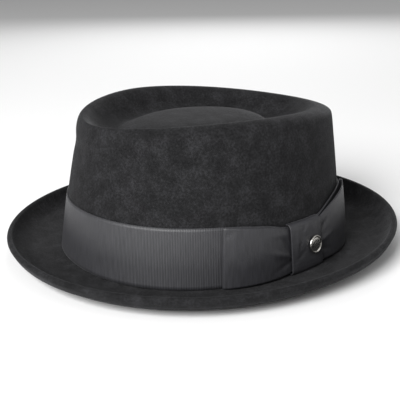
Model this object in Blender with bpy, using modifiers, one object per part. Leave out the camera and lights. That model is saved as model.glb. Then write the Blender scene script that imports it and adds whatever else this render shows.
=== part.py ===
"""Pork pie hat: moulded wool felt, grosgrain ribbon band, flat side bow and a small metal pin.

Metres, +Z up. The hat rests on its brim at Z = 0, its front faces -Y and the bow is at +X.
Angles round the hat start at the front (0) and run past the bow (90) to the back (180).
"""

import math

import bmesh
import bpy
import numpy as np
from mathutils import Vector

# Felt and ribbon stock
FELT = 0.0024
WELT = 0.0048
RIBBON = 0.0009
GAP = 0.0003

# Foot of the crown, measured from the middle of the head opening to the outside of the felt
HEAD_FRONT = 0.0997
HEAD_BACK = 0.1013
HEAD_SIDE = 0.0943

# Brim, from the foot of the crown to the edge, and the rise of its turned-up edge
BRIM_FRONT = 0.0350
BRIM_BACK = 0.0385
BRIM_SIDE = 0.0375
CURL_FRONT = 0.0134
CURL_BACK = 0.0185
CURL_LEFT = 0.0145
CURL_RIGHT = 0.0166

# Crown: heights of the rim above the surface, and how far the wall swells between foot and rim
RIM_FRONT = 0.0963
RIM_BACK = 0.0911
RIM_SIDE = 0.1006
SWELL = 0.0009
DENT = 0.0150

# Band and bow; the loops are measured from the middle of the knot
BAND_HEIGHT = 0.0382
BOW_ANGLE = 98.5
KNOT_WIDTH = 0.0244
KNOT_HEIGHT = 0.843 * BAND_HEIGHT
FRONT_LOOP = 0.0535
BACK_LOOP = 0.0600
LOOP_FULLNESS = 0.0028
PINCH = 0.0012

# Pin, with the place of its middle on the knot
PIN_DIAMETER = 0.0120
PIN_THICKNESS = 0.0014
PIN_HEIGHT = 0.0190
PIN_SHIFT = 0.0050

# Squareness of the brim's outline: 2 is a true ellipse
BRIM_SQUARENESS = 2.065

# Rounding of cut edges as a share of the thickness, and the sharpest angle that is left alone
EDGE_ROUNDING = 0.35
ROUNDED_ANGLE = 72

# Degrees round the hat over which the band is gathered under the bow
GATHER_SPREAD = 18.0

# Height of a loop's pinch, and how far its upper and lower edges flatten, as shares of the loop
CREASE_SPREAD = 0.16
EDGE_FLATTENING = 0.25

# How far the loops' fullness lifts the knot, as a share of that fullness
KNOT_LIFT = 0.2

# Degrees to either side of a point from which the wall's direction is taken
SLOPE_STEP = 0.5

# How finely the round shapes are divided
ROUND_STEPS = 60
KNOT_STEPS = 6
HEIGHT_STEPS = 7
PIN_STEPS = 32

# Brim sections from the crown outwards: share of the brim's width, share of the edge's rise,
# share of the way from plain felt to the doubled welt
BRIM_ROWS = [
    # out, rise, welt
    (0.14, 0.00, 0.0),
    (0.30, 0.00, 0.0),
    (0.48, 0.05, 0.0),
    (0.62, 0.11, 0.0),
    (0.73, 0.17, 0.1),
    (0.82, 0.30, 0.5),
    (0.90, 0.52, 0.9),
    (0.96, 0.78, 1.0),
    (1.00, 1.00, 1.0),
]

# Ovals of the crown: shares of the foot's front, back and side reach, squareness,
# and shares of the rim's height at the front, back and side
FOOT = (1.000, 1.000, 1.000, 2.16, 0.000, 0.000, 0.000)
SHOULDER = (0.870, 1.000, 0.888, 1.94, 0.809, 0.963, 0.894)
CREST = (0.843, 0.912, 0.769, 1.81, 1.000, 1.000, 1.000)
WALL_ROWS = (0.0, 0.05, 0.22, 0.45, 0.66, 0.84, 1.0)
ROLL_ROWS = (22, 42, 62, 78, 90)

# Dent in the top, from the rim to the middle of the island: shares of the crest's front, back
# and side reach, squareness, share of the dent's depth, and share of the way to a level top
DENT_ROWS = [
    # front, back, side, square, drop, even
    (0.955, 0.965, 0.950, 1.82, 0.09, 0.00),
    (0.885, 0.900, 0.870, 1.84, 0.42, 0.05),
    (0.820, 0.820, 0.790, 1.86, 0.80, 0.15),
    (0.750, 0.720, 0.700, 1.88, 1.00, 0.30),
    (0.690, 0.620, 0.610, 1.88, 0.88, 0.50),
    (0.620, 0.520, 0.500, 1.88, 0.60, 0.70),
    (0.480, 0.400, 0.380, 1.90, 0.44, 0.90),
    (0.260, 0.220, 0.200, 1.95, 0.38, 1.00),
]

# Loops of the bow from the knot to the fold: share of the loop's reach, lower and upper edge as
# shares of the band's height, fullness of the outer layer and depth of the pinch
FRONT_LOOP_ROWS = [
    # out, low, high, full, pinch
    (0.05, 0.050, 0.800, 0.00, 0.0),
    (0.22, 0.045, 0.805, 0.08, 0.3),
    (0.30, 0.035, 0.850, 0.45, 1.0),
    (0.40, 0.030, 0.895, 0.80, 0.8),
    (0.55, 0.025, 0.940, 1.00, 0.3),
    (0.75, 0.020, 0.975, 0.90, 0.0),
    (0.90, 0.015, 0.995, 0.55, 0.0),
    (1.00, 0.010, 1.005, 0.10, 0.0),
]
BACK_LOOP_ROWS = [
    # out, low, high, full, pinch
    (0.05, 0.050, 0.800, 0.00, 0.0),
    (0.20, 0.045, 0.815, 0.08, 0.3),
    (0.30, 0.040, 0.885, 0.40, 1.0),
    (0.42, 0.035, 0.960, 0.75, 0.6),
    (0.58, 0.030, 1.030, 1.00, 0.2),
    (0.76, 0.025, 1.080, 1.00, 0.0),
    (0.90, 0.020, 1.110, 0.75, 0.0),
    (1.00, 0.020, 1.125, 0.30, 0.0),
]

# Knot from its lower to its upper tuck: share of the way from the felt to its face,
# share of its height
KNOT_ROWS = [
    # out, high
    (0.00, 0.000),
    (0.60, 0.000),
    (0.90, 0.035),
    (0.99, 0.120),
    (1.00, 0.350),
    (1.00, 0.650),
    (0.98, 0.850),
    (0.88, 0.960),
    (0.58, 1.000),
    (0.00, 1.000),
]


def oval(reach, square, angles):
    """Points of a closed oval with its own reach to the front, back and side."""
    front, back, side = reach
    c = np.cos(angles)
    s = np.sin(angles)
    power = 2.0 / square
    along = np.sign(c) * np.abs(c) ** power
    across = np.sign(s) * np.abs(s) ** power
    return side * across, -np.where(c > 0.0, front, back) * along


def level(front, back, side, angles):
    """Height that takes the given values at the front, the back and both sides."""
    c = np.cos(angles)
    return side + 0.5 * (front - back) * c + (0.5 * (front + back) - side) * c * c


def crown_section(shares, angles):
    """One oval of the crown as points in space."""
    reach = (HEAD_FRONT * shares[0], HEAD_BACK * shares[1], HEAD_SIDE * shares[2])
    x, y = oval(reach, shares[3], angles)
    front = FELT + shares[4] * (RIM_FRONT - FELT)
    back = FELT + shares[5] * (RIM_BACK - FELT)
    side = FELT + shares[6] * (RIM_SIDE - FELT)
    return np.stack([x, y, level(front, back, side, angles)], axis=-1)


def blend(first, last, share):
    return tuple(a + (b - a) * share for a, b in zip(first, last))


def wall_section(share, angles):
    """Oval of the crown's wall, from its foot (0) to its shoulder (1)."""
    points = crown_section(blend(FOOT, SHOULDER, share), angles)
    outward = plan_normal(points)
    return points + outward * (SWELL * 4.0 * share * (1.0 - share))


def plan_normal(points):
    """Outward unit normals of a closed oval, seen from above."""
    ahead = np.roll(points, -1, axis=0) - np.roll(points, 1, axis=0)
    normal = np.stack([ahead[:, 1], -ahead[:, 0], np.zeros(len(points))], axis=-1)
    return normal / np.linalg.norm(normal, axis=1, keepdims=True)


def wall_points(angles, heights, offsets):
    """Points on the crown's wall at given angles and heights, moved out from the felt."""
    step = math.radians(SLOPE_STEP)
    result = np.zeros((len(angles), 3))
    for turn in (-1, 0, 1):
        turned = angles + turn * step
        foot = crown_section(FOOT, turned)
        top = crown_section(SHOULDER, turned)
        share = (heights - foot[:, 2]) / (top[:, 2] - foot[:, 2])
        shares = np.array(FOOT)[:, None] + (np.array(SHOULDER) - np.array(FOOT))[:, None] * share
        reach = (HEAD_FRONT * shares[0], HEAD_BACK * shares[1], HEAD_SIDE * shares[2])
        x, y = oval(reach, shares[3], turned)
        if turn == -1:
            before = np.stack([x, y], axis=-1)
        elif turn == 0:
            result[:, 0] = x
            result[:, 1] = y
            result[:, 2] = heights
            swell = SWELL * 4.0 * share * (1.0 - share)
        else:
            ahead = np.stack([x, y], axis=-1) - before
    normal = np.stack([ahead[:, 1], -ahead[:, 0]], axis=-1)
    normal /= np.linalg.norm(normal, axis=1, keepdims=True)
    result[:, :2] += normal * (swell + offsets)[:, None]
    return result


def new_collection(name):
    collection = bpy.data.collections.new(name)
    bpy.context.scene.collection.children.link(collection)
    return collection


def clear_scene():
    for item in list(bpy.data.objects):
        bpy.data.objects.remove(item, do_unlink=True)


def material(name, colour, roughness, metallic=0.0):
    result = bpy.data.materials.new(name)
    result.use_nodes = True
    shader = result.node_tree.nodes["Principled BSDF"]
    shader.inputs["Base Color"].default_value = (*colour, 1.0)
    shader.inputs["Roughness"].default_value = roughness
    shader.inputs["Metallic"].default_value = metallic
    return result


def felt_material():
    return material("wool_felt", (0.020, 0.020, 0.021), 0.95)


def ribbon_material(name):
    return material(name, (0.032, 0.032, 0.034), 0.60)


def pin_material():
    return material("polished_nickel", (0.62, 0.61, 0.59), 0.18, 1.0)


def add_object(name, mesh, collection, look):
    item = bpy.data.objects.new(name, mesh)
    item.data.materials.append(look)
    collection.objects.link(item)
    return item


def grid_mesh(name, grid, closed, pole=None):
    """Quads over a grid of points (rows, columns); the columns may close round."""
    rows, columns = grid.shape[:2]
    vertices = [tuple(point) for point in grid.reshape(-1, 3)]
    faces = []
    last = columns if closed else columns - 1
    for row in range(rows - 1):
        for column in range(last):
            right = (column + 1) % columns
            low = row * columns
            high = low + columns
            faces.append((low + column, low + right, high + right, high + column))
    if pole is not None:
        vertices.append(tuple(pole))
        top = (rows - 1) * columns
        for column in range(columns):
            faces.append((top + column, top + (column + 1) % columns, len(vertices) - 1))
    mesh = bpy.data.meshes.new(name)
    mesh.from_pydata(vertices, [], faces)
    mesh.update()
    return mesh


def thicken(item, thickness, offset):
    shell = item.modifiers.new("Thickness", "SOLIDIFY")
    shell.thickness = thickness
    shell.offset = offset
    shell.use_even_offset = True
    shell.use_quality_normals = True
    return shell


def around(steps):
    return np.arange(steps) * (2.0 * math.pi / steps)


def brim_grid(angles):
    """Upper side of the brim from its edge in to the foot of the crown, and its welt shares."""
    foot = crown_section(FOOT, angles)
    reach = (HEAD_FRONT + BRIM_FRONT, HEAD_BACK + BRIM_BACK, HEAD_SIDE + BRIM_SIDE)
    edge_x, edge_y = oval(reach, BRIM_SQUARENESS, angles)
    curl_side = 0.5 * (CURL_LEFT + CURL_RIGHT) + 0.5 * (CURL_LEFT - CURL_RIGHT) * np.sin(angles)
    curl = level(CURL_FRONT, CURL_BACK, curl_side, angles)
    rows = []
    for out, rise, _ in BRIM_ROWS[::-1]:
        x = foot[:, 0] + (edge_x - foot[:, 0]) * out
        y = foot[:, 1] + (edge_y - foot[:, 1]) * out
        rows.append(np.stack([x, y, FELT + curl * rise], axis=-1))
    return rows, [welt for _, _, welt in BRIM_ROWS[::-1]]


def crown_grid(angles):
    """Outside of the crown from its foot over the rim roll and down into the dent."""
    rows = [wall_section(share, angles) for share in WALL_ROWS]
    shoulder = crown_section(SHOULDER, angles)
    crest = crown_section(CREST, angles)
    for degrees in ROLL_ROWS:
        turn = math.radians(degrees)
        row = crest + (shoulder - crest) * math.cos(turn)
        row[:, 2] = shoulder[:, 2] + (crest[:, 2] - shoulder[:, 2]) * math.sin(turn)
        rows.append(row)
    middle = crest[:, 2].mean()
    for front, back, side, square, drop, even in DENT_ROWS:
        reach = (
            HEAD_FRONT * CREST[0] * front,
            HEAD_BACK * CREST[1] * back,
            HEAD_SIDE * CREST[2] * side,
        )
        x, y = oval(reach, square, angles)
        rim = crest[:, 2] + (middle - crest[:, 2]) * even
        rows.append(np.stack([x, y, rim - DENT * drop], axis=-1))
    return rows


def build_felt(collection):
    """Crown and brim: an open sheet with the felt's thickness, doubled at the brim's edge."""
    angles = around(ROUND_STEPS)
    brim, welts = brim_grid(angles)
    crown = crown_grid(angles)
    grid = np.array(brim + crown)
    pole = grid[-1].mean(axis=0)
    mesh = grid_mesh("felt_body", grid, True, pole)
    item = add_object("felt_body", mesh, collection, felt_material())
    group = item.vertex_groups.new(name="welt")
    for row, share in enumerate(welts):
        first = row * ROUND_STEPS
        group.add(list(range(first, first + ROUND_STEPS)), share, "REPLACE")
    shell = thicken(item, WELT, -1.0)
    shell.vertex_group = group.name
    shell.thickness_vertex_group = FELT / WELT
    bevel = item.modifiers.new("Rounded edge", "BEVEL")
    bevel.width = EDGE_ROUNDING * WELT
    bevel.segments = 2
    bevel.limit_method = "ANGLE"
    bevel.angle_limit = math.radians(ROUNDED_ANGLE)
    return item


def band_foot():
    """Height of the band's lower edge, just clear of the brim."""
    return FELT + GAP


def band_top(angles):
    """Top edge of the band, gathered to the knot's height under the bow."""
    away = (np.degrees(angles) - BOW_ANGLE + 180.0) % 360.0 - 180.0
    gathered = np.exp(-((away / GATHER_SPREAD) ** 2))
    dip = BAND_HEIGHT - KNOT_HEIGHT + 2.0 * RIBBON + 2.0 * GAP
    return band_foot() + BAND_HEIGHT - dip * gathered


def build_band(collection):
    """Grosgrain ribbon laid round the foot of the crown."""
    angles = around(ROUND_STEPS)
    low = np.full(len(angles), band_foot())
    top = band_top(angles)
    rows = []
    for share in (0.0, 0.5, 1.0):
        heights = low + (top - low) * share
        rows.append(wall_points(angles, heights, np.full(len(angles), GAP)))
    mesh = grid_mesh("hat_band", np.array(rows), True)
    item = add_object("hat_band", mesh, collection, ribbon_material("band_grosgrain"))
    thicken(item, RIBBON, 1.0)
    return item


def bow_angle(distance):
    """Angle of a point at a distance along the crown from the knot's middle."""
    return math.radians(BOW_ANGLE) + distance / HEAD_SIDE


def inner_layer():
    """Middle of a loop's inner layer, out from the felt: it lies on the band."""
    return GAP + RIBBON + GAP + 0.5 * RIBBON


def outer_layer():
    """Middle of a loop's outer layer where the knot holds it."""
    return inner_layer() + RIBBON + GAP


def knot_face():
    """Middle of the knot's face, out from the felt."""
    return outer_layer() + RIBBON + 2.0 * GAP + KNOT_LIFT * LOOP_FULLNESS


def loop_path(rows, reach, way):
    """Stations along one loop: in along the band, round the fold and back over the top."""
    stations = []
    for out, low, high, _, _ in rows:
        stations.append((way * reach * out, low, high, inner_layer(), 0.0))
    last = rows[-1]
    radius = 0.5 * (outer_layer() + LOOP_FULLNESS * last[3] - inner_layer())
    for turn in (-45, 0, 45):
        bend = math.radians(turn)
        distance = reach * last[0] + radius * math.cos(bend)
        offset = inner_layer() + radius * (1.0 + math.sin(bend))
        stations.append((way * distance, last[1], last[2], offset, 0.0))
    for out, low, high, full, pinch in rows[::-1]:
        offset = outer_layer() + LOOP_FULLNESS * full
        stations.append((way * reach * out, low, high, offset, PINCH * pinch))
    return stations


def build_loop(name, rows, reach, way, collection):
    """A ribbon folded back on itself, open at its upper and lower edges."""
    grid = []
    shares = np.linspace(0.0, 1.0, HEIGHT_STEPS)
    crease = np.exp(-((shares - 0.50) / CREASE_SPREAD) ** 2)
    plump = 1.0 - EDGE_FLATTENING * (2.0 * shares - 1.0) ** 2
    for distance, low, high, offset, pinch in loop_path(rows, reach, way):
        angles = np.full(HEIGHT_STEPS, bow_angle(distance))
        heights = band_foot() + BAND_HEIGHT * (low + (high - low) * shares)
        floor = min(offset, outer_layer())
        offsets = floor + (offset - floor) * plump - np.minimum(pinch, offset - floor) * crease
        grid.append(wall_points(angles, heights, offsets))
    grid = np.array(grid)
    if way > 0:
        grid = grid[::-1]
    mesh = grid_mesh(name, grid, False)
    item = add_object(name, mesh, collection, ribbon_material(name + "_ribbon"))
    thicken(item, RIBBON, 0.0)
    return item


def build_knot(collection):
    """Wrap of ribbon over the middle of the bow, tucked in above and below."""
    grid = []
    distances = np.linspace(-0.5, 0.5, KNOT_STEPS + 1) * KNOT_WIDTH
    angles = bow_angle(distances)
    foot = band_foot() + 0.5 * RIBBON
    for out, high in KNOT_ROWS:
        near = inner_layer() if high < 0.5 else GAP + 0.5 * RIBBON
        heights = np.full(len(angles), foot + KNOT_HEIGHT * high)
        offsets = np.full(len(angles), near + (knot_face() - near) * out)
        grid.append(wall_points(angles, heights, offsets))
    mesh = grid_mesh("bow_knot", np.array(grid), False)
    item = add_object("bow_knot", mesh, collection, ribbon_material("knot_ribbon"))
    thicken(item, RIBBON, 0.0)
    return item


def build_pin(collection):
    """Bare domed metal disc lying on the knot."""
    radius = 0.5 * PIN_DIAMETER
    lift = knot_face() + 0.5 * RIBBON + GAP + 0.5 * PIN_THICKNESS
    middle = bow_angle(PIN_SHIFT)
    turn = radius / HEAD_SIDE
    low, high, before, after = wall_points(
        np.array([middle, middle, middle - turn, middle + turn]),
        PIN_HEIGHT + np.array([-radius, radius, 0.0, 0.0]),
        np.full(4, lift),
    )
    facing = Vector(np.cross(after - before, high - low)).normalized()
    shape = bmesh.new()
    bmesh.ops.create_cone(
        shape,
        cap_ends=True,
        segments=PIN_STEPS,
        radius1=radius,
        radius2=radius,
        depth=PIN_THICKNESS,
    )
    mesh = bpy.data.meshes.new("pin")
    shape.to_mesh(mesh)
    shape.free()
    item = add_object("pin", mesh, collection, pin_material())
    item.location = 0.5 * (low + high)
    item.rotation_euler = facing.to_track_quat("Z", "Y").to_euler()
    bevel = item.modifiers.new("Rounded rim", "BEVEL")
    bevel.width = EDGE_ROUNDING * PIN_THICKNESS
    bevel.segments = 2
    bevel.limit_method = "ANGLE"
    return item


def centre_on_brim(collection):
    """Move the hat so that the middle of its brim stands on the origin."""
    middle = bpy.data.objects.new("brim_middle", None)
    middle.location.y = 0.5 * (HEAD_FRONT + BRIM_FRONT - HEAD_BACK - BRIM_BACK)
    for item in list(collection.objects):
        item.parent = middle
    collection.objects.link(middle)


def main():
    clear_scene()
    hat = new_collection("pork_pie_hat")
    build_felt(hat)
    build_band(hat)
    build_loop("bow_front_loop", FRONT_LOOP_ROWS, FRONT_LOOP, -1.0, hat)
    build_loop("bow_back_loop", BACK_LOOP_ROWS, BACK_LOOP, 1.0, hat)
    build_knot(hat)
    build_pin(hat)
    centre_on_brim(hat)


main()
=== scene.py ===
# %% [markdown]
# # A pork pie hat
# The hat is moulded from one piece of wool felt: a low crown with a dent all round its top, and a
# brim that turns up to a thick, doubled edge. A grosgrain ribbon goes round the crown, with a flat
# bow on the wearer's left and a small metal pin on the bow's knot.
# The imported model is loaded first. It is the frame that every piece is made in.

# %% Load the frame
import math

import bpy
import numpy as np
from mathutils import Matrix


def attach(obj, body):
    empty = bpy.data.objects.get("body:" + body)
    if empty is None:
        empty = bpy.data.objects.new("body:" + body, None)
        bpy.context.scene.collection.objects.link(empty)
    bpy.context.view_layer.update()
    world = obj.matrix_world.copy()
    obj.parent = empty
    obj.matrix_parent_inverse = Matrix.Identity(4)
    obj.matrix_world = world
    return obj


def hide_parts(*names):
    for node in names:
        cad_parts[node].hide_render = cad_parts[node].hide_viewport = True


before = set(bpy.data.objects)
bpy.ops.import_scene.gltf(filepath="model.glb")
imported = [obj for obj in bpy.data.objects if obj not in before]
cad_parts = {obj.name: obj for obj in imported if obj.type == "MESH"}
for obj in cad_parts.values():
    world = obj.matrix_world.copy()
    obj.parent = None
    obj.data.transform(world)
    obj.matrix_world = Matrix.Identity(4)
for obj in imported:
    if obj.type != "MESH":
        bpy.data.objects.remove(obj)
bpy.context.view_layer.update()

print("nodes:", sorted(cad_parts))

# %% [markdown]
# ## Sizes
# Every piece is worked out from the sizes of the real hat, in metres. Angles round the hat start at
# the front and pass the bow at 90 degrees. Ovals are measured from the middle of the head opening,
# which lies a little in front of the middle of the brim, so the whole hat is moved by AXIS_Y.

# %% Sizes of the hat
FELT = 0.0024
RIBBON = 0.0009
RIBBON_CLOTH = 0.0006
GAP = 0.0003
HEAD_FRONT = 0.0997
HEAD_BACK = 0.1013
HEAD_SIDE = 0.0943
BRIM_FRONT = 0.0350
BRIM_BACK = 0.0385
BRIM_SIDE = 0.0375
BRIM_SQUARENESS = 2.065
CURL_FRONT = 0.0134
CURL_BACK = 0.0185
CURL_LEFT = 0.0145
CURL_RIGHT = 0.0166
RIM_FRONT = 0.0963
RIM_BACK = 0.0911
RIM_SIDE = 0.1006
SWELL = 0.0009
DENT = 0.0150
BAND_HEIGHT = 0.0382
BOW_ANGLE = 98.5
KNOT_WIDTH = 0.0244
KNOT_HEIGHT = 0.0322
FRONT_LOOP = 0.0535
BACK_LOOP = 0.0600
LOOP_FULLNESS = 0.0028
PIN_DIAMETER = 0.0120
PIN_THICKNESS = 0.0014
PIN_HEIGHT = 0.0190
PIN_SHIFT = 0.0050
WELT_WIDTH = 0.0078
WELT_CLOTH = 0.0042
WELT_FADE = 0.0012
EDGE_DEPTH = 0.0021
AXIS_Y = 0.5 * (HEAD_FRONT + BRIM_FRONT - HEAD_BACK - BRIM_BACK)
print("crown axis at y = %.5f m" % AXIS_Y)

# %% [markdown]
# ## Sections of the felt
# A hat block gives a felt hat its form, and a block is described by its ovals. Each oval has its own
# reach to the front, back and side, and a squareness: 2 is an ellipse, more is boxier. The tables
# hold the ovals as shares of the sizes above. A surface that goes smoothly through all of them is
# closer to pressed felt than one built from flat facets.

# %% Tables of ovals
BRIM_ROWS = np.array([
    # out, rise
    (1.00, 1.00),
    (0.96, 0.78),
    (0.90, 0.52),
    (0.82, 0.30),
    (0.73, 0.17),
    (0.62, 0.11),
    (0.48, 0.05),
    (0.30, 0.00),
    (0.14, 0.00),
    (0.03, 0.00),
])
FOOT = np.array([1.000, 1.000, 1.000, 2.16, 0.000, 0.000, 0.000])
SHOULDER = np.array([0.870, 1.000, 0.888, 1.94, 0.809, 0.963, 0.894])
CREST = np.array([0.843, 0.912, 0.769, 1.81, 1.000, 1.000, 1.000])
WALL_ROWS = (0.0, 0.012, 0.05, 0.22, 0.45, 0.66, 0.84, 1.0)
ROLL_ROWS = (22, 42, 62, 78, 90)
DENT_ROWS = [
    # front, back, side, squareness, drop, even
    (0.955, 0.965, 0.950, 1.82, 0.09, 0.00),
    (0.885, 0.900, 0.870, 1.84, 0.42, 0.05),
    (0.820, 0.820, 0.790, 1.86, 0.80, 0.15),
    (0.750, 0.720, 0.700, 1.88, 1.00, 0.30),
    (0.690, 0.620, 0.610, 1.88, 0.88, 0.50),
    (0.620, 0.520, 0.500, 1.88, 0.60, 0.70),
    (0.480, 0.400, 0.380, 1.90, 0.44, 0.90),
    (0.260, 0.220, 0.200, 1.95, 0.38, 1.00),
    (0.060, 0.055, 0.050, 2.00, 0.36, 1.00),
]
print(len(BRIM_ROWS) + len(WALL_ROWS) + len(ROLL_ROWS) + len(DENT_ROWS), "ovals")


# %% Ovals as arrays of points
def oval(reach, square, angles):
    """Superellipse: across = side * |sin|^(2/n), along = reach * |cos|^(2/n), with their signs."""
    front, back, side = reach
    c = np.cos(angles)
    s = np.sin(angles)
    power = 2.0 / square
    along = np.sign(c) * np.abs(c) ** power
    across = np.sign(s) * np.abs(s) ** power
    return side * across, -np.where(c > 0.0, front, back) * along


def level(front, back, side, angles):
    """side + half of (front - back) * cos + (mean of front and back - side) * cos squared."""
    c = np.cos(angles)
    return side + 0.5 * (front - back) * c + (0.5 * (front + back) - side) * c * c


def crown_section(shares, angles):
    """One oval of the crown, its reach and height given as shares of the foot and the rim."""
    reach = (HEAD_FRONT * shares[0], HEAD_BACK * shares[1], HEAD_SIDE * shares[2])
    x, y = oval(reach, shares[3], angles)
    front = FELT + shares[4] * (RIM_FRONT - FELT)
    back = FELT + shares[5] * (RIM_BACK - FELT)
    side = FELT + shares[6] * (RIM_SIDE - FELT)
    return np.stack([x, y, level(front, back, side, angles)], axis=-1)


def on_wall(angles, heights, offsets):
    """Points on the crown's wall: the oval at each height, moved out along its plan normal."""
    plan = []
    for turn in (-0.5, 0.0, 0.5):
        turned = angles + math.radians(turn)
        foot = crown_section(FOOT, turned)[..., 2]
        top = crown_section(SHOULDER, turned)[..., 2]
        share = (heights - foot) / (top - foot)
        shares = [a + (b - a) * share for a, b in zip(FOOT, SHOULDER)]
        reach = (HEAD_FRONT * shares[0], HEAD_BACK * shares[1], HEAD_SIDE * shares[2])
        plan.append(np.stack(oval(reach, shares[3], turned), axis=-1))
        if turn == 0.0:
            swell = SWELL * 4.0 * share * (1.0 - share)
    ahead = plan[2] - plan[0]
    outward = np.stack([ahead[..., 1], -ahead[..., 0]], axis=-1)
    outward /= np.linalg.norm(outward, axis=-1, keepdims=True)
    flat = plan[1] + outward * (swell + offsets)[..., None]
    return np.concatenate([flat, heights[..., None]], axis=-1)


print("head opening %.0f mm wide" % (2000 * (HEAD_SIDE - FELT)))

# %% [markdown]
# ## From sections to surfaces
# The given rows are far apart, so a cubic goes through them and is read at short steps. Points are
# kept as one array of rows and columns, and a whole row is worked out at a time. Two helpers put
# such a grid in a mesh: one joins its rows into quads, the other makes the object, with a UV map in
# metres of cloth so that a weave can follow the ribbon.


# %% Smooth rows, normals and meshes
def smooth_rows(rows, step, weights=None):
    """Cubic Hermite through the rows: each tangent is the mean slope of the two spans beside it."""
    rows = np.asarray(rows, dtype=float)
    measured = rows if weights is None else rows * weights
    span = np.linalg.norm(np.diff(measured, axis=0), axis=2).mean(axis=1)
    slope = np.diff(rows, axis=0) / span[:, None, None]
    tangent = np.concatenate([slope[:1], 0.5 * (slope[:-1] + slope[1:]), slope[-1:]])
    result = []
    for k, length in enumerate(span):
        count = max(1, int(round(length / step)))
        t = (np.arange(count) / count)[:, None, None]
        result.append(
            (2 * t**3 - 3 * t**2 + 1) * rows[k]
            + (t**3 - 2 * t**2 + t) * length * tangent[k]
            + (3 * t**2 - 2 * t**3) * rows[k + 1]
            + (t**3 - t**2) * length * tangent[k + 1]
        )
    return np.concatenate(result + [rows[-1:]])


def soften(rows, degrees):
    """Gaussian blur round each closed row: harmonic k keeps exp(-(k * width)^2 / 2) of its size."""
    waves = np.fft.rfft(rows, axis=1)
    k = np.arange(waves.shape[1])
    waves *= np.exp(-0.5 * (k * math.radians(degrees)) ** 2)[None, :, None]
    return np.fft.irfft(waves, rows.shape[1], axis=1)


def grid_normals(grid, closed):
    """Unit cross product of the steps along the columns and along the rows."""
    if closed:
        along = np.roll(grid, -1, axis=1) - np.roll(grid, 1, axis=1)
    else:
        along = np.gradient(grid, axis=1)
    up = np.gradient(grid, axis=0)
    normal = np.cross(along, up)
    return normal / np.linalg.norm(normal, axis=2, keepdims=True)


def grid_faces(rows, columns, closed):
    """Quads between neighbouring rows; the last column joins the first where it is closed."""
    c = np.arange(columns if closed else columns - 1)
    r = np.arange(rows - 1)[:, None] * columns
    right = (c + 1) % columns
    quads = np.stack([r + c, r + right, r + columns + right, r + columns + c], axis=-1)
    return quads.reshape(-1, 4).tolist()


def piece_from(name, points, faces, uv=None):
    """A smooth-shaded mesh object at the origin, moved by AXIS_Y in its mesh."""
    points = points.reshape(-1, 3) + np.array([0.0, AXIS_Y, 0.0])
    mesh = bpy.data.meshes.new(name)
    mesh.from_pydata(points.tolist(), [], faces)
    mesh.polygons.foreach_set("use_smooth", np.ones(len(mesh.polygons), dtype=bool))
    if uv is not None:
        corner = np.zeros(len(mesh.loops), dtype=np.int32)
        mesh.loops.foreach_get("vertex_index", corner)
        layer = mesh.uv_layers.new(name="cloth")
        layer.data.foreach_set("uv", uv.reshape(-1, 2)[corner].astype(np.float32).ravel())
    mesh.update()
    item = bpy.data.objects.new(name, mesh)
    bpy.context.scene.collection.objects.link(item)
    print("%s: %d faces" % (name, len(mesh.polygons)))
    return item


# %% [markdown]
# ## Nodes and colours
# All finishes are made of nodes. One function adds a node, sets it and links it. Another turns the
# sRGB hex value of a colour into the linear numbers that the shader works with.


# %% Helpers for the finishes
def linear(hex_colour):
    """sRGB hex to linear RGBA: below 0.04045 divide by 12.92, above it ((c + 0.055) / 1.055)^2.4."""
    channel = np.array([int(hex_colour[i:i + 2], 16) / 255.0 for i in (1, 3, 5)])
    low = channel / 12.92
    high = ((channel + 0.055) / 1.055) ** 2.4
    return (*np.where(channel <= 0.04045, low, high), 1.0)


def node(tree, kind, settings=None, links=None, **values):
    """A node with its settings, its own socket values and the links that go into it."""
    item = tree.nodes.new(kind)
    for key, value in (settings or {}).items():
        setattr(item, key, value)
    for key, value in values.items():
        item.inputs[key.replace("_", " ")].default_value = value
    for key, source in (links or {}).items():
        tree.links.new(source, item.inputs[key])
    return item


def new_finish(name):
    """An empty material with its Principled shader and output joined."""
    finish = bpy.data.materials.new(name)
    finish.use_nodes = True
    tree = finish.node_tree
    return finish, tree, tree.nodes["Principled BSDF"]


def colour_ramp(tree, factor, stops):
    """Colour Ramp from (position, hex colour) pairs."""
    ramp = node(tree, "ShaderNodeValToRGB", links={"Fac": factor})
    for k, (place, colour) in enumerate(stops):
        stop = ramp.color_ramp.elements[k] if k < 2 else ramp.color_ramp.elements.new(place)
        stop.position = place
        stop.color = linear(colour)
    return ramp.outputs["Color"]


print("mid grey in linear light: %.3f" % linear("#808080")[0])

# %% [markdown]
# ## Wool felt
# Wool felt is fibre that was matted by steam and pressure on a block, dyed black and brushed. It has
# no weave: the eye sees a fine nap, a few tufts a little lighter than the rest, and a soft bloom
# where the nap is seen edge-on. The nap is noise at about 1.4 mm, drawn coarser than the
# real fibres so that it shows, with a slower one at 9 mm for uneven brushing. The bloom is sheen.


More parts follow.
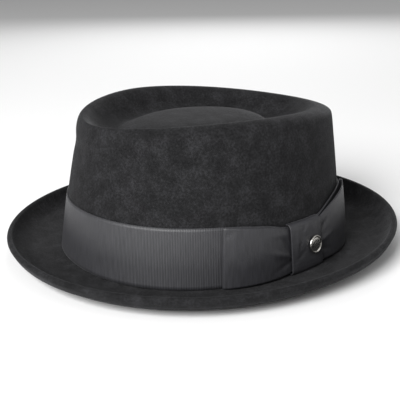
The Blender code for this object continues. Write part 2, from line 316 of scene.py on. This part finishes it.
# %% Make the felt
def make_felt():
    """Black wool felt: two noises mix its blacks, a third makes the nap's bumps."""
    finish, tree, shader = new_finish("brushed wool felt")
    where = node(tree, "ShaderNodeTexCoord").outputs["Object"]
    nap = node(
        tree, "ShaderNodeTexNoise", links={"Vector": where},
        Scale=700.0, Detail=5.0, Roughness=0.75,
    )
    uneven = node(
        tree, "ShaderNodeTexNoise", links={"Vector": where},
        Scale=110.0, Detail=3.0, Roughness=0.55,
    )
    mixed = node(
        tree, "ShaderNodeMix", {"data_type": "FLOAT"},
        {2: nap.outputs["Fac"], 3: uneven.outputs["Fac"]},
    )
    mixed.inputs[0].default_value = 0.35
    blacks = [(0.36, "#121213"), (0.50, "#1e1e1f"), (0.64, "#2e2e30")]
    colour = colour_ramp(tree, mixed.outputs[0], blacks)
    tree.links.new(colour, shader.inputs["Base Color"])
    fibre = node(
        tree, "ShaderNodeTexNoise", links={"Vector": where},
        Scale=2100.0, Detail=3.0, Roughness=0.6,
    )
    bump = node(
        tree, "ShaderNodeBump", links={"Height": fibre.outputs["Fac"]},
        Strength=0.45, Distance=0.0004,
    )
    soft = node(
        tree, "ShaderNodeBump",
        links={"Height": uneven.outputs["Fac"], "Normal": bump.outputs["Normal"]},
        Strength=0.25, Distance=0.0008,
    )
    tree.links.new(soft.outputs["Normal"], shader.inputs["Normal"])
    shader.inputs["Roughness"].default_value = 0.92
    shader.inputs["Specular IOR Level"].default_value = 0.12
    shader.inputs["Sheen Weight"].default_value = 0.10
    shader.inputs["Sheen Roughness"].default_value = 0.35
    shader.inputs["Sheen Tint"].default_value = linear("#d8d8dc")
    return finish


felt_finish = make_felt()
print("made", felt_finish.name)

# %% [markdown]
# ## Crown and brim
# The crown and brim are one skin, so they are made as one surface: a profile that runs from the
# brim's edge in over the brim, up the wall, over the rim and down into the dent, carried round the
# head. The underside is the same surface moved in by the felt's thickness. At the edge the felt is
# folded under and sewn, so it is 4.2 mm thick there and not 2.4 mm. The fold is a rounded cap.


# %% Upper side of the felt
COLUMNS = 232
ROUND = np.arange(COLUMNS) * (2.0 * math.pi / COLUMNS)


def brim_rows():
    """Rows from the edge in: plan = foot + (edge - foot) * out, height = felt + curl * rise."""
    foot = crown_section(FOOT, ROUND)
    reach = (HEAD_FRONT + BRIM_FRONT, HEAD_BACK + BRIM_BACK, HEAD_SIDE + BRIM_SIDE)
    edge = np.stack(oval(reach, BRIM_SQUARENESS, ROUND), axis=-1)
    side = 0.5 * (CURL_LEFT + CURL_RIGHT) + 0.5 * (CURL_LEFT - CURL_RIGHT) * np.sin(ROUND)
    curl = level(CURL_FRONT, CURL_BACK, side, ROUND)
    out = BRIM_ROWS[:, 0][:, None, None]
    plan = foot[None, :, :2] + (edge - foot[:, :2])[None] * out
    height = FELT + curl[None] * BRIM_ROWS[:, 1][:, None]
    return np.concatenate([plan, height[..., None]], axis=-1)


def crown_rows():
    """Rows up the wall, a quarter ellipse over the rim, then the ovals of the dent."""
    foot = crown_section(FOOT, ROUND)[:, 2]
    top = crown_section(SHOULDER, ROUND)[:, 2]
    rows = [on_wall(ROUND, foot + (top - foot) * share, np.zeros(COLUMNS)) for share in WALL_ROWS]
    shoulder = crown_section(SHOULDER, ROUND)
    crest = crown_section(CREST, ROUND)
    for degrees in ROLL_ROWS:
        turn = math.radians(degrees)
        row = crest + (shoulder - crest) * math.cos(turn)
        row[:, 2] = shoulder[:, 2] + (crest[:, 2] - shoulder[:, 2]) * math.sin(turn)
        rows.append(row)
    middle = crest[:, 2].mean()
    for front, back, side, square, drop, even in DENT_ROWS:
        reach = (
            HEAD_FRONT * CREST[0] * front,
            HEAD_BACK * CREST[1] * back,
            HEAD_SIDE * CREST[2] * side,
        )
        x, y = oval(reach, square, ROUND)
        rim = crest[:, 2] + (middle - crest[:, 2]) * even
        rows.append(np.stack([x, y, rim - DENT * drop], axis=-1))
    return np.array(rows)


PROFILE_STEP = 0.0013
BLUR_DEGREES = 1.6
given_rows = np.concatenate([brim_rows(), crown_rows()])
upper = soften(smooth_rows(given_rows, PROFILE_STEP), BLUR_DEGREES)
print("upper side: %d rows of %d points" % upper.shape[:2])


# %% Edge and underside of the felt
def arc_from_edge(rows):
    """Mean distance of each row from the edge, measured along the profile."""
    steps = np.linalg.norm(np.diff(rows, axis=0), axis=2).mean(axis=1)
    return np.concatenate([[0.0], np.cumsum(steps)])


def ease(share):
    """3s^2 - 2s^3, held at 0 and 1."""
    s = np.clip(share, 0.0, 1.0)
    return s * s * (3.0 - 2.0 * s)


def felt_points(rows):
    """Upper rows, rounded edge, then the underside moved in along the normals."""
    distance = arc_from_edge(rows)
    rows = rows[distance >= EDGE_DEPTH]
    distance = distance[distance >= EDGE_DEPTH]
    normal = grid_normals(rows, True)
    fold = ease((WELT_WIDTH + 0.5 * WELT_FADE - distance) / WELT_FADE)
    thickness = (FELT + (WELT_CLOTH - FELT) * fold)[:, None, None]
    under = rows - normal * thickness
    outward = rows[0] - rows[1]
    outward /= np.linalg.norm(outward, axis=1, keepdims=True)
    middle = 0.5 * (rows[0] + under[0])
    half = 0.5 * (rows[0] - under[0])
    turns = np.radians(np.linspace(0.0, 180.0, 13)[1:-1])[:, None, None]
    cap = middle + half * np.cos(turns) + outward * EDGE_DEPTH * np.sin(turns)
    fine = 14
    keep = np.concatenate([np.arange(fine), np.arange(fine, len(rows), 2)])
    return np.concatenate([rows[::-1], cap, under[keep]])


def make_felt_body():
    """The grid of felt points, closed at both poles."""
    grid = felt_points(upper)
    rows = len(grid)
    faces = grid_faces(rows, COLUMNS, True)
    poles = np.stack([grid[0].mean(axis=0), grid[-1].mean(axis=0)])
    points = np.concatenate([grid.reshape(-1, 3), poles])
    c = np.arange(COLUMNS)
    right = (c + 1) % COLUMNS
    last = (rows - 1) * COLUMNS
    first_fan = np.stack([right, c, np.full(COLUMNS, rows * COLUMNS)], axis=-1)
    last_fan = np.stack([last + c, last + right, np.full(COLUMNS, rows * COLUMNS + 1)], axis=-1)
    faces += first_fan.tolist() + last_fan.tolist()
    item = piece_from("felt_hat", points, [face[::-1] for face in faces])
    item.data.materials.append(felt_finish)
    return item


felt_hat = make_felt_body()
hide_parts("felt_body")
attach(felt_hat, "root")
print("felt is %.1f mm thick, %.1f mm at the edge" % (1000 * FELT, 1000 * WELT_CLOTH))

# %% [markdown]
# ## Grosgrain ribbon
# Grosgrain is a ribbon with thick threads across its width and fine silky ones along it, so it shows
# close ribs that run up and down on the hat, about one to the millimetre. A rib is a rounded
# ridge, so a sine of the distance along the ribbon gives its bump, and the same sine paints the
# crests lighter and the troughs darker in the colour: painted shade. The threads shine along the
# ribbon; the band's colour is painted lighter than the felt to stand in for that shine, a painted
# sheen. The bow's ribbon is a finer, smoother one. Both read the piece's own UV map, which is in
# metres of cloth.


# %% Make the ribbons
def make_grosgrain(name, pitch, ribs, sheen_painted_colours, roughness):
    """Black grosgrain: ridge = half of (1 + sine of 2 pi * distance / pitch), plus thread noise."""
    finish, tree, shader = new_finish(name)
    cloth = node(tree, "ShaderNodeUVMap", {"uv_map": "cloth"}).outputs["UV"]
    split = node(tree, "ShaderNodeSeparateXYZ", links={"Vector": cloth})
    turns = node(tree, "ShaderNodeMath", {"operation": "MULTIPLY"}, {0: split.outputs["X"]})
    turns.inputs[1].default_value = 2.0 * math.pi / pitch
    wave = node(tree, "ShaderNodeMath", {"operation": "SINE"}, {0: turns.outputs[0]})
    ridge = node(tree, "ShaderNodeMath", {"operation": "MULTIPLY_ADD"}, {0: wave.outputs[0]})
    ridge.inputs[1].default_value = 0.5
    ridge.inputs[2].default_value = 0.5
    stretch = node(tree, "ShaderNodeMapping", links={"Vector": cloth})
    stretch.inputs["Scale"].default_value = (900.0, 90.0, 1.0)
    thread = node(
        tree, "ShaderNodeTexNoise", links={"Vector": stretch.outputs["Vector"]},
        Scale=1.0, Detail=4.0,
    )
    mixed = node(
        tree, "ShaderNodeMix", {"data_type": "FLOAT"},
        {2: thread.outputs["Fac"], 3: ridge.outputs[0]},
    )
    mixed.inputs[0].default_value = ribs
    # The colour follows the mix: its rib part is painted shade, crests lighter and troughs darker;
    # its thread noise is the threads' own uneven tone.
    colour = colour_ramp(tree, mixed.outputs[0], sheen_painted_colours)
    tree.links.new(colour, shader.inputs["Base Color"])
    bump = node(
        tree, "ShaderNodeBump", links={"Height": mixed.outputs[0]},
        Strength=0.55, Distance=0.00022,
    )
    tree.links.new(bump.outputs["Normal"], shader.inputs["Normal"])
    shader.inputs["Roughness"].default_value = roughness
    shader.inputs["Specular IOR Level"].default_value = 0.5
    shader.inputs["Sheen Weight"].default_value = 0.06
    shader.inputs["Sheen Roughness"].default_value = 0.30
    shader.inputs["Sheen Tint"].default_value = linear("#e6e6ea")
    return finish


BAND_RIB = 0.00105
BOW_RIB = 0.00060
# The ribbons' colour stops are painted lighter than the felt's blacks: a painted sheen for the shine
# of the threads.
band_finish = make_grosgrain(
    "woven grosgrain", BAND_RIB, 0.55,
    [(0.20, "#1e1e20"), (0.50, "#303033"), (0.85, "#444447")], 0.48,
)
bow_finish = make_grosgrain(
    "fine grosgrain", BOW_RIB, 0.35,
    [(0.20, "#1c1c1e"), (0.50, "#2a2a2d"), (0.85, "#3a3a3e")], 0.46,
)
print("ribs every %.2f mm on the band and %.2f mm on the bow" % (1000 * BAND_RIB, 1000 * BOW_RIB))

# %% [markdown]
# ## The band
# The band is a flat ribbon wrapped round the foot of the crown. It is a strip on the crown's own
# wall, moved out by the air under it, and its width is divided into rows. Under the bow its top edge
# is gathered down so that the knot can hold it. The strip gets the ribbon's thickness from Solidify.


# %% Wrap the band
BAND_ROWS = 17
BAND_COLUMNS = 480
BAND_RIPPLE = 0.00010
DIP_SPREAD = 18.0


def band_foot():
    """Height of the band's lower edge, just clear of the brim."""
    return FELT + GAP


def band_top(angles):
    """Foot + band height, less a bell-shaped dip 18 degrees wide under the bow."""
    away = (np.degrees(angles) - BOW_ANGLE + 180.0) % 360.0 - 180.0
    dip = BAND_HEIGHT - KNOT_HEIGHT + 2.0 * RIBBON + 2.0 * GAP
    return band_foot() + BAND_HEIGHT - dip * np.exp(-((away / DIP_SPREAD) ** 2))


def thicken(item, thickness, offset):
    """Solidify with even walls."""
    shell = item.modifiers.new("Thickness", "SOLIDIFY")
    shell.thickness = thickness
    shell.offset = offset
    shell.use_even_offset = True
    return shell


def make_band():
    """Rows of points on the wall between the band's foot and its top."""
    step = 2.0 * math.pi / BAND_COLUMNS
    angles = math.radians(BOW_ANGLE) + np.arange(BAND_COLUMNS) * step
    shares = np.linspace(0.0, 1.0, BAND_ROWS)[:, None]
    turn = np.broadcast_to(angles, (BAND_ROWS, BAND_COLUMNS))
    heights = band_foot() + (band_top(angles) - band_foot()) * shares
    lift = BAND_RIPPLE * np.sin(7.0 * angles + 0.6) * np.sin(math.pi * shares)
    points = on_wall(turn, heights, 0.5 * GAP + lift)
    around = turn * 0.5 * (HEAD_SIDE + HEAD_FRONT)
    uv = np.stack([around, heights], axis=-1)
    faces = grid_faces(BAND_ROWS, BAND_COLUMNS, True)
    item = piece_from("ribbon_band", points, faces, uv)
    item.data.materials.append(band_finish)
    thicken(item, RIBBON_CLOTH, 1.0)
    return item


ribbon_band = make_band()
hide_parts("hat_band")
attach(ribbon_band, "root")

# %% [markdown]
# ## The bow
# A hat's side bow is flat: two loops of ribbon lie along the band, and a short wrap of ribbon holds
# them in the middle. Each loop runs out along the band, folds back and returns over itself, so it
# is a U seen from above. The wrap squeezes the loops, which makes small gathers that fan out
# from it. A loop is a grid over the distance along the crown and the height, moved out from the
# wall by its layer, its fullness and its folds.


# %% Tables of the loops
FRONT_LOOP_ROWS = [
    # out, low, high, full
    (0.05, 0.050, 0.800, 0.00),
    (0.22, 0.045, 0.805, 0.08),
    (0.30, 0.035, 0.850, 0.45),
    (0.40, 0.030, 0.895, 0.80),
    (0.55, 0.025, 0.940, 1.00),
    (0.75, 0.020, 0.975, 0.90),
    (0.90, 0.015, 0.995, 0.55),
    (1.00, 0.010, 1.005, 0.10),
]
BACK_LOOP_ROWS = [
    # out, low, high, full
    (0.05, 0.050, 0.800, 0.00),
    (0.20, 0.045, 0.815, 0.08),
    (0.30, 0.040, 0.885, 0.40),
    (0.42, 0.035, 0.960, 0.75),
    (0.58, 0.030, 1.030, 1.00),
    (0.76, 0.025, 1.080, 1.00),
    (0.90, 0.020, 1.110, 0.75),
    (1.00, 0.020, 1.125, 0.30),
]
INNER = GAP + RIBBON + GAP + 0.5 * RIBBON
OUTER = INNER + RIBBON + GAP
FRONT_FOLDS = [
    # distance from the knot in mm, height share, length, width, slant in degrees, depth in mm
    (13.5, 0.62, 7.0, 1.7, 62.0, -1.10),
    (17.0, 0.44, 8.0, 2.2, 22.0, 0.85),
    (15.0, 0.22, 7.0, 1.8, -24.0, -0.60),
    (19.0, 0.86, 9.0, 2.4, -8.0, 0.40),
    (50.5, 0.90, 4.0, 1.6, -40.0, -0.45),
]
BACK_FOLDS = [
    # distance from the knot in mm, height share, length, width, slant in degrees, depth in mm
    (15.0, 0.70, 7.0, 2.0, 38.0, -0.90),
    (16.0, 0.46, 8.0, 2.2, 6.0, 0.80),
    (16.0, 0.24, 7.0, 1.9, -26.0, -0.65),
]


# %% Fold the loops
def loop_stations(rows, reach, way):
    """In along the band, round the fold in a half circle, and back over the top."""
    inner = [(way * reach * out, low, high, INNER, 0.0) for out, low, high, _ in rows]
    out, low, high, full = rows[-1]
    radius = 0.5 * (OUTER + LOOP_FULLNESS * full - INNER)
    turns = np.radians([-60, -30, 0, 30, 60])
    bend = [
        (way * (reach * out + radius * math.cos(t)), low, high,
         INNER + radius * (1.0 + math.sin(t)), 0.5)
        for t in turns
    ]
    outer = [
        (way * reach * out, low, high, OUTER + LOOP_FULLNESS * full, 1.0)
        for out, low, high, full in rows
    ]
    return np.array(inner + bend + outer[::-1])


def folds(distance, share, table):
    """Sum of bell-shaped ridges: depth * exp(-(along / length)^2 - (across / width)^2)."""
    x = np.abs(distance) * 1000.0
    y = share * BAND_HEIGHT * 1000.0
    total = np.zeros(np.broadcast(x, y).shape)
    for place, height, length, width, slant, depth in table:
        turn = math.radians(slant)
        dx = x - place
        dy = y - height * BAND_HEIGHT * 1000.0
        along = dx * math.cos(turn) + dy * math.sin(turn)
        across = dy * math.cos(turn) - dx * math.sin(turn)
        total = total + depth * np.exp(-((along / length) ** 2) - (across / width) ** 2)
    return total / 1000.0


def travelled_along(line):
    """Distance walked from the first point of a line to each of its points."""
    steps = np.linalg.norm(np.diff(line, axis=0), axis=1)
    return np.concatenate([[0.0], np.cumsum(steps)])


LOOP_COLUMNS = 33


def make_loop(name, rows, reach, way, table):
    """Grid of the loop: stations along the ribbon by shares of its height."""
    stations = loop_stations(rows, reach, way)[:, None, :]
    fine = smooth_rows(stations, 0.0011, np.array([1.0, 0.0, 0.0, 1.0, 0.0]))[:, 0]
    distance, low, high, offset, over = fine.T[:, :, None]
    share = np.linspace(0.0, 1.0, LOOP_COLUMNS)[None, :]
    angles = math.radians(BOW_ANGLE) + distance / HEAD_SIDE + 0.0 * share
    heights = band_foot() + BAND_HEIGHT * (low + (high - low) * share)
    plump = 1.0 - 0.25 * (2.0 * share - 1.0) ** 2
    layer = np.where(over > 0.5, OUTER, INNER)
    lifted = np.maximum(offset - layer, 0.0) * plump + np.minimum(offset, layer)
    held = ease((np.abs(distance) - 0.4 * KNOT_WIDTH) / 0.004)
    extra = folds(distance, share, table) * ease((over - 0.75) / 0.25) * held
    offsets = np.maximum(lifted + extra, np.where(over > 0.9, OUTER - 0.0001, 0.0))
    points = on_wall(angles, heights, offsets)
    travelled = travelled_along(points[:, LOOP_COLUMNS // 2])
    uv = np.stack([travelled[:, None] + 0.0 * share, heights], axis=-1)
    faces = grid_faces(*points.shape[:2], False)
    if way < 0:
        faces = [face[::-1] for face in faces]
    item = piece_from(name, points, faces, uv)
    item.data.materials.append(bow_finish)
    thicken(item, RIBBON_CLOTH, 0.0)
    return item, travelled[-1]


front_loop, front_length = make_loop("front_loop", FRONT_LOOP_ROWS, FRONT_LOOP, -1.0, FRONT_FOLDS)
back_loop, back_length = make_loop("back_loop", BACK_LOOP_ROWS, BACK_LOOP, 1.0, BACK_FOLDS)
print("ribbon in the loops: %.0f mm and %.0f mm" % (1000 * front_length, 1000 * back_length))

# %% [markdown]
# ## The knot
# The knot is a short length of the same ribbon wrapped over the middle of the bow and tucked in
# above and below. It runs up and down, so its ribs run across. It is pulled tight, and that leaves
# soft creases along it.

# %% Wrap the knot
KNOT_ROWS = np.array([
    # out, high
    (0.00, 0.000),
    (0.60, 0.000),
    (0.90, 0.035),
    (0.99, 0.120),
    (1.00, 0.350),
    (1.00, 0.650),
    (0.98, 0.850),
    (0.88, 0.960),
    (0.58, 1.000),
    (0.00, 1.000),
])
KNOT_CREASES = [
    # across the knot in mm, height in mm, length, width, slant in degrees, depth in mm
    (-7.8, 19.0, 16.0, 1.3, 86.0, 0.30),
    (-4.0, 23.0, 9.0, 1.2, 70.0, -0.40),
    (-1.0, 27.0, 7.0, 1.4, 50.0, 0.35),
    (-6.0, 11.0, 6.0, 1.5, 40.0, -0.30),
    (7.5, 24.0, 9.0, 1.5, 98.0, 0.35),
]
KNOT_COLUMNS = 31
KNOT_FACE = OUTER + RIBBON + 2.0 * GAP + 0.2 * LOOP_FULLNESS


def make_knot():
    """Grid over the knot's width and its wrap; the face carries the creases."""
    rows = KNOT_ROWS[:, None, :] * np.array([KNOT_FACE, KNOT_HEIGHT])
    fine = smooth_rows(rows, 0.0008)[:, 0] / np.array([KNOT_FACE, KNOT_HEIGHT])
    out = fine[:, :1]
    high = fine[:, 1:]
    across = np.linspace(-0.5, 0.5, KNOT_COLUMNS)[None, :] * KNOT_WIDTH
    angles = math.radians(BOW_ANGLE) + across / HEAD_SIDE + 0.0 * out
    near = np.where(high < 0.5, INNER, GAP + 0.5 * RIBBON)
    heights = band_foot() + 0.5 * RIBBON + KNOT_HEIGHT * high + 0.0 * across
    offsets = near + (KNOT_FACE - near) * out + 0.0 * across
    x = across * 1000.0
    y = KNOT_HEIGHT * high * 1000.0
    for place, height, length, width, slant, depth in KNOT_CREASES:
        turn = math.radians(slant)
        along = (x - place) * math.cos(turn) + (y - height) * math.sin(turn)
        beside = (y - height) * math.cos(turn) - (x - place) * math.sin(turn)
        bell = np.exp(-((along / length) ** 2) - (beside / width) ** 2)
        offsets = offsets + 0.001 * depth * bell * ease((out - 0.7) / 0.3)
    points = on_wall(angles, heights, offsets)
    travelled = travelled_along(points[:, KNOT_COLUMNS // 2])
    uv = np.stack([travelled[:, None] + 0.0 * across, across + 0.0 * out], axis=-1)
    item = piece_from("knot", points, grid_faces(*points.shape[:2], False), uv)
    item.data.materials.append(bow_finish)
    thicken(item, RIBBON_CLOTH, 0.0)
    return item, travelled[-1]


knot, knot_length = make_knot()
for piece, cad_node in (
    (front_loop, "bow_front_loop"), (back_loop, "bow_back_loop"), (knot, "bow_knot"),
):
    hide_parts(cad_node)
    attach(piece, "root")
print("knot ribbon: %.0f mm" % (1000 * knot_length))

# %% [markdown]
# ## The pin
# The pin is a stamped disc of nickel-plated metal with a raised rim and a low dome, held by a stud
# through the knot. It is round, so one profile turned about its own axis makes it. The plating is
# polished, and fine turning marks catch the light.


# %% Turn the pin
RING_PITCH = 0.0003
PIN_STEP = 0.0002
PIN_COLUMNS = 72


def make_nickel():
    """Polished nickel plating with faint rings from the lathe, drawn 0.3 mm apart to show."""
    finish, tree, shader = new_finish("polished nickel plate")
    where = node(tree, "ShaderNodeUVMap", {"uv_map": "cloth"}).outputs["UV"]
    split = node(tree, "ShaderNodeSeparateXYZ", links={"Vector": where})
    rings = node(tree, "ShaderNodeMath", {"operation": "MULTIPLY"}, {0: split.outputs["X"]})
    rings.inputs[1].default_value = 2.0 * math.pi / RING_PITCH
    wave = node(tree, "ShaderNodeMath", {"operation": "SINE"}, {0: rings.outputs[0]})
    place = node(tree, "ShaderNodeTexCoord").outputs["Object"]
    worn = node(tree, "ShaderNodeTexNoise", links={"Vector": place}, Scale=700.0, Detail=4.0)
    rough = node(
        tree, "ShaderNodeMapRange", links={"Value": worn.outputs["Fac"]},
        To_Min=0.16, To_Max=0.34,
    )
    tree.links.new(rough.outputs["Result"], shader.inputs["Roughness"])
    bump = node(
        tree, "ShaderNodeBump", links={"Height": wave.outputs[0]},
        Strength=0.08, Distance=0.00002,
    )
    tree.links.new(bump.outputs["Normal"], shader.inputs["Normal"])
    shader.inputs["Base Color"].default_value = linear("#cfccc6")
    shader.inputs["Metallic"].default_value = 1.0
    return finish


PIN_PROFILE = np.array([
    # radius share, height share of the thickness
    (0.00, 0.00), (0.90, 0.00), (0.97, 0.10), (1.00, 0.35), (1.00, 0.62), (0.97, 0.86),
    (0.92, 0.98), (0.87, 0.98), (0.83, 0.86), (0.80, 0.70), (0.76, 0.66), (0.60, 0.74),
    (0.40, 0.80), (0.20, 0.83), (0.03, 0.84),
])


def make_pin():
    """Profile of radius and height turned round the axis that stands on the knot's face."""
    lift = KNOT_FACE + 0.5 * RIBBON + GAP + 0.5 * PIN_THICKNESS
    middle = math.radians(BOW_ANGLE) + PIN_SHIFT / HEAD_SIDE
    radius = 0.5 * PIN_DIAMETER
    turn = radius / HEAD_SIDE
    low, high, before, after = on_wall(
        np.array([middle, middle, middle - turn, middle + turn]),
        PIN_HEIGHT + np.array([-radius, radius, 0.0, 0.0]),
        np.full(4, lift),
    )
    up = (high - low) / np.linalg.norm(high - low)
    out = np.cross(after - before, up)
    out /= np.linalg.norm(out)
    across = np.cross(up, out)
    centre = 0.5 * (low + high) - out * 0.5 * PIN_THICKNESS
    given = PIN_PROFILE[1:, None, :] * np.array([radius, PIN_THICKNESS])
    profile = smooth_rows(given, PIN_STEP)[:, 0]
    columns = PIN_COLUMNS
    angle = np.arange(columns) * (2.0 * math.pi / columns)
    spoke = np.cos(angle)[:, None] * across + np.sin(angle)[:, None] * up
    grid = centre + profile[:, :1, None] * spoke[None] + profile[:, 1:, None] * out
    poles = np.stack([grid[0].mean(axis=0), grid[-1].mean(axis=0)])
    points = np.concatenate([grid.reshape(-1, 3), poles])
    last = (len(grid) - 1) * columns
    c = np.arange(columns)
    right = (c + 1) % columns
    faces = grid_faces(len(grid), columns, True)
    faces += np.stack([right, c, np.full(columns, len(points) - 2)], axis=-1).tolist()
    faces += np.stack([last + c, last + right, np.full(columns, len(points) - 1)], axis=-1).tolist()
    uv = np.concatenate([np.repeat(profile, columns, axis=0), np.zeros((2, 2))])
    item = piece_from("nickel_pin", points, faces, uv)
    item.data.materials.append(make_nickel())
    return item


nickel_pin = make_pin()
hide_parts("pin")
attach(nickel_pin, "root")

# %% [markdown]
# ## Floor, light and camera
# The hat stands on a plain pale floor. One large soft light hangs at the front left, as the felt is
# brightest there, a weaker one fills from the right, a third stands behind, and a pale sky lights
# the rest. The camera looks at the wearer's front left, from a little above the crown.


# %% Floor and lights
def make_floor():
    """A square of pale card, nearly white."""
    finish, tree, shader = new_finish("pale matt card")
    shader.inputs["Base Color"].default_value = linear("#f2f2f2")
    shader.inputs["Roughness"].default_value = 0.9
    half = 3.0
    corners = np.array([
        [-half, -half, 0.0], [half, -half, 0.0], [half, half, 0.0], [-half, half, 0.0],
    ])
    item = piece_from("floor", corners, [[0, 1, 2, 3]])
    item.data.materials.append(finish)
    return item


def standing(right, up, back, place):
    """Matrix from three directions and a place."""
    columns = np.column_stack([right, up, back, place])
    return Matrix(np.vstack([columns, [0, 0, 0, 1]]).tolist())


def aim(place, target):
    """Matrix that stands at place and looks along its -Z axis at target."""
    back = np.array(place) - np.array(target)
    back /= np.linalg.norm(back)
    right = np.cross((0.0, 0.0, 1.0), back)
    right /= np.linalg.norm(right)
    up = np.cross(back, right)
    return standing(right, up, back, place)


def soft_light(name, place, size, watts):
    """A square area light aimed at the crown."""
    lamp = bpy.data.lights.new(name, "AREA")
    lamp.size = size
    lamp.energy = watts
    item = bpy.data.objects.new(name, lamp)
    item.matrix_world = aim(place, (0.0, 0.0, 0.05))
    bpy.context.scene.collection.objects.link(item)
    return item


CAMERA_AZIMUTH = 55.669
CAMERA_DISTANCE = 0.51856
CAMERA_HEIGHT = 0.20247
CAMERA_PITCH = 18.61
CAMERA_ROLL = -1.133
FOCAL_PIXELS = 751.99
PICTURE_PIXELS = 400.0


def from_camera(right, towards, up):
    """A place given to the right of the hat, towards the camera and up, in metres."""
    a = math.radians(CAMERA_AZIMUTH)
    side = np.array([math.cos(a), math.sin(a), 0.0])
    near = np.array([math.sin(a), -math.cos(a), 0.0])
    return side * right + near * towards + np.array([0.0, 0.0, up])


make_floor()
SKY_LIGHT = 0.30
LIGHTS = [
    # name, right of the hat, towards the camera, up, size in metres, watts
    ("key", -0.75, 1.15, 1.0, 0.9, 42.0),
    ("fill", 1.3, 0.6, 0.7, 1.0, 3.0),
    ("back", 0.1, -1.3, 0.9, 1.0, 8.0),
]
for name, right, towards, up, size, watts in LIGHTS:
    soft_light(name, from_camera(right, towards, up), size, watts)
world = bpy.data.worlds.new("pale sky")
world.use_nodes = True
sky = world.node_tree.nodes["Background"]
seen = node(world.node_tree, "ShaderNodeLightPath").outputs["Is Camera Ray"]
bright = node(
    world.node_tree, "ShaderNodeMapRange", links={"Value": seen},
    To_Min=SKY_LIGHT, To_Max=1.0,
)
world.node_tree.links.new(bright.outputs["Result"], sky.inputs["Strength"])
sky.inputs["Color"].default_value = (1.0, 1.0, 1.0, 1.0)
bpy.context.scene.world = world
bpy.context.scene.view_settings.view_transform = "Standard"
print("three soft lights and a pale sky")


# %% Camera
def make_camera():
    """Stands back from the crown's axis, looks down by the pitch and is turned by the roll."""
    a = math.radians(CAMERA_AZIMUTH)
    tilt = math.radians(CAMERA_PITCH)
    roll = math.radians(CAMERA_ROLL)
    near = np.array([math.sin(a), -math.cos(a), 0.0])
    side = np.array([math.cos(a), math.sin(a), 0.0])
    upward = np.array([0.0, 0.0, 1.0])
    back = near * math.cos(tilt) + upward * math.sin(tilt)
    up = upward * math.cos(tilt) - near * math.sin(tilt)
    right = side * math.cos(roll) + up * math.sin(roll)
    above = up * math.cos(roll) - side * math.sin(roll)
    place = near * CAMERA_DISTANCE + np.array([0.0, AXIS_Y, CAMERA_HEIGHT])
    lens = bpy.data.cameras.new("camera")
    lens.sensor_width = 36.0
    lens.lens = FOCAL_PIXELS / PICTURE_PIXELS * lens.sensor_width
    lens.clip_start = 0.01
    item = bpy.data.objects.new("camera", lens)
    item.matrix_world = standing(right, above, back, place)
    bpy.context.scene.collection.objects.link(item)
    bpy.context.scene.camera = item
    return item


camera = make_camera()
print("lens %.1f mm" % camera.data.lens)
